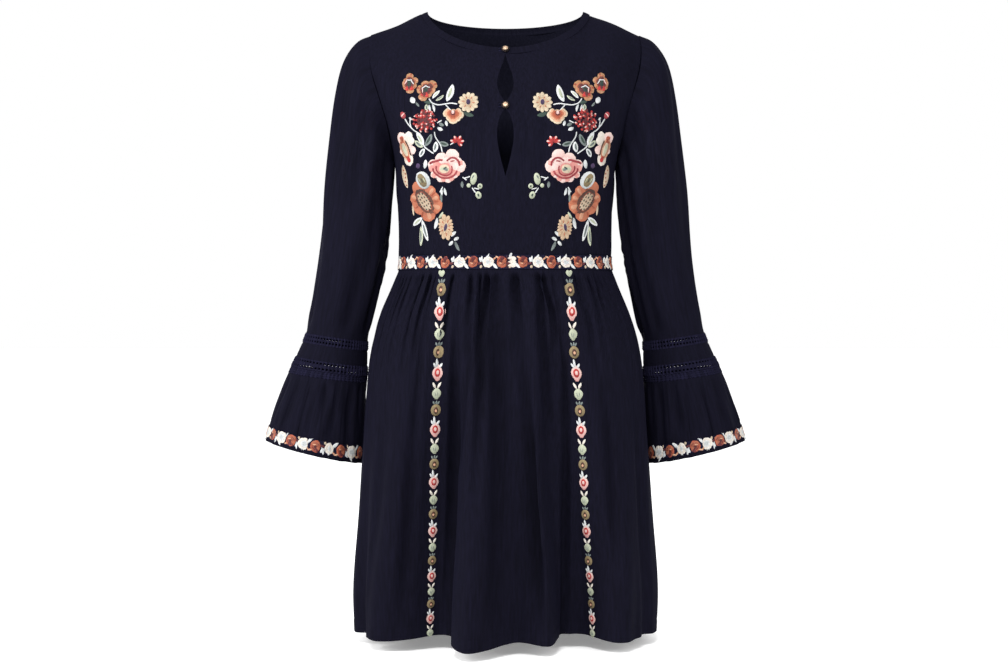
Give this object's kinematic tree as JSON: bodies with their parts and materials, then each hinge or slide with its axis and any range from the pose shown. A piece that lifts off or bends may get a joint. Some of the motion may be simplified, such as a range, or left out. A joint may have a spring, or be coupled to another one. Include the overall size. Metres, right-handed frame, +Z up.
{
  "type": "peasant dress",
  "caption": "Hollow long-sleeved peasant dress, filled out as worn: keyhole neck, embroidered bodice, taped waist, gathered skirt, lace-inset sleeves with bell ruffles.",
  "frame": {"origin": "midway between the two points where the shoulder seams meet the neck opening, where the wearer's shoulders hold the dress up", "axes": "+Z up, -Y towards the front of the dress, +X towards the wearer's left sleeve"},
  "size_m": [0.6782, 0.2916, 0.8486],
  "materials": {
    "navy_cloth": "fine crepe weave, matt with a faint sheen",
    "ladder_lace": "cotton ladder lace, matt",
    "embroidery": "satin-stitched thread in rose, peach, rust, sage and white on navy",
    "antique_brass": "antiqued, dark in the hollows"
  },
  "bodies": {
    "root": {"bodice_front": "navy_cloth", "bodice_back": "navy_cloth", "neck_binding": "navy_cloth", "button_top": "antique_brass", "button_loop_top": "navy_cloth", "button_lower": "antique_brass", "button_loop_lower": "navy_cloth", "waist_tape": "embroidery", "skirt_front": "navy_cloth", "skirt_back": "navy_cloth", "sleeve_left": "navy_cloth", "cuff_ladder_upper_left": "ladder_lace", "cuff_band_left": "navy_cloth", "cuff_ladder_lower_left": "ladder_lace", "cuff_header_left": "ladder_lace", "ruffle_left": "navy_cloth", "ruffle_tape_left": "embroidery", "sleeve_right": "navy_cloth", "cuff_ladder_upper_right": "ladder_lace", "cuff_band_right": "navy_cloth", "cuff_ladder_lower_right": "ladder_lace", "cuff_header_right": "ladder_lace", "ruffle_right": "navy_cloth", "ruffle_tape_right": "embroidery"}
  },
  "joints": []
}
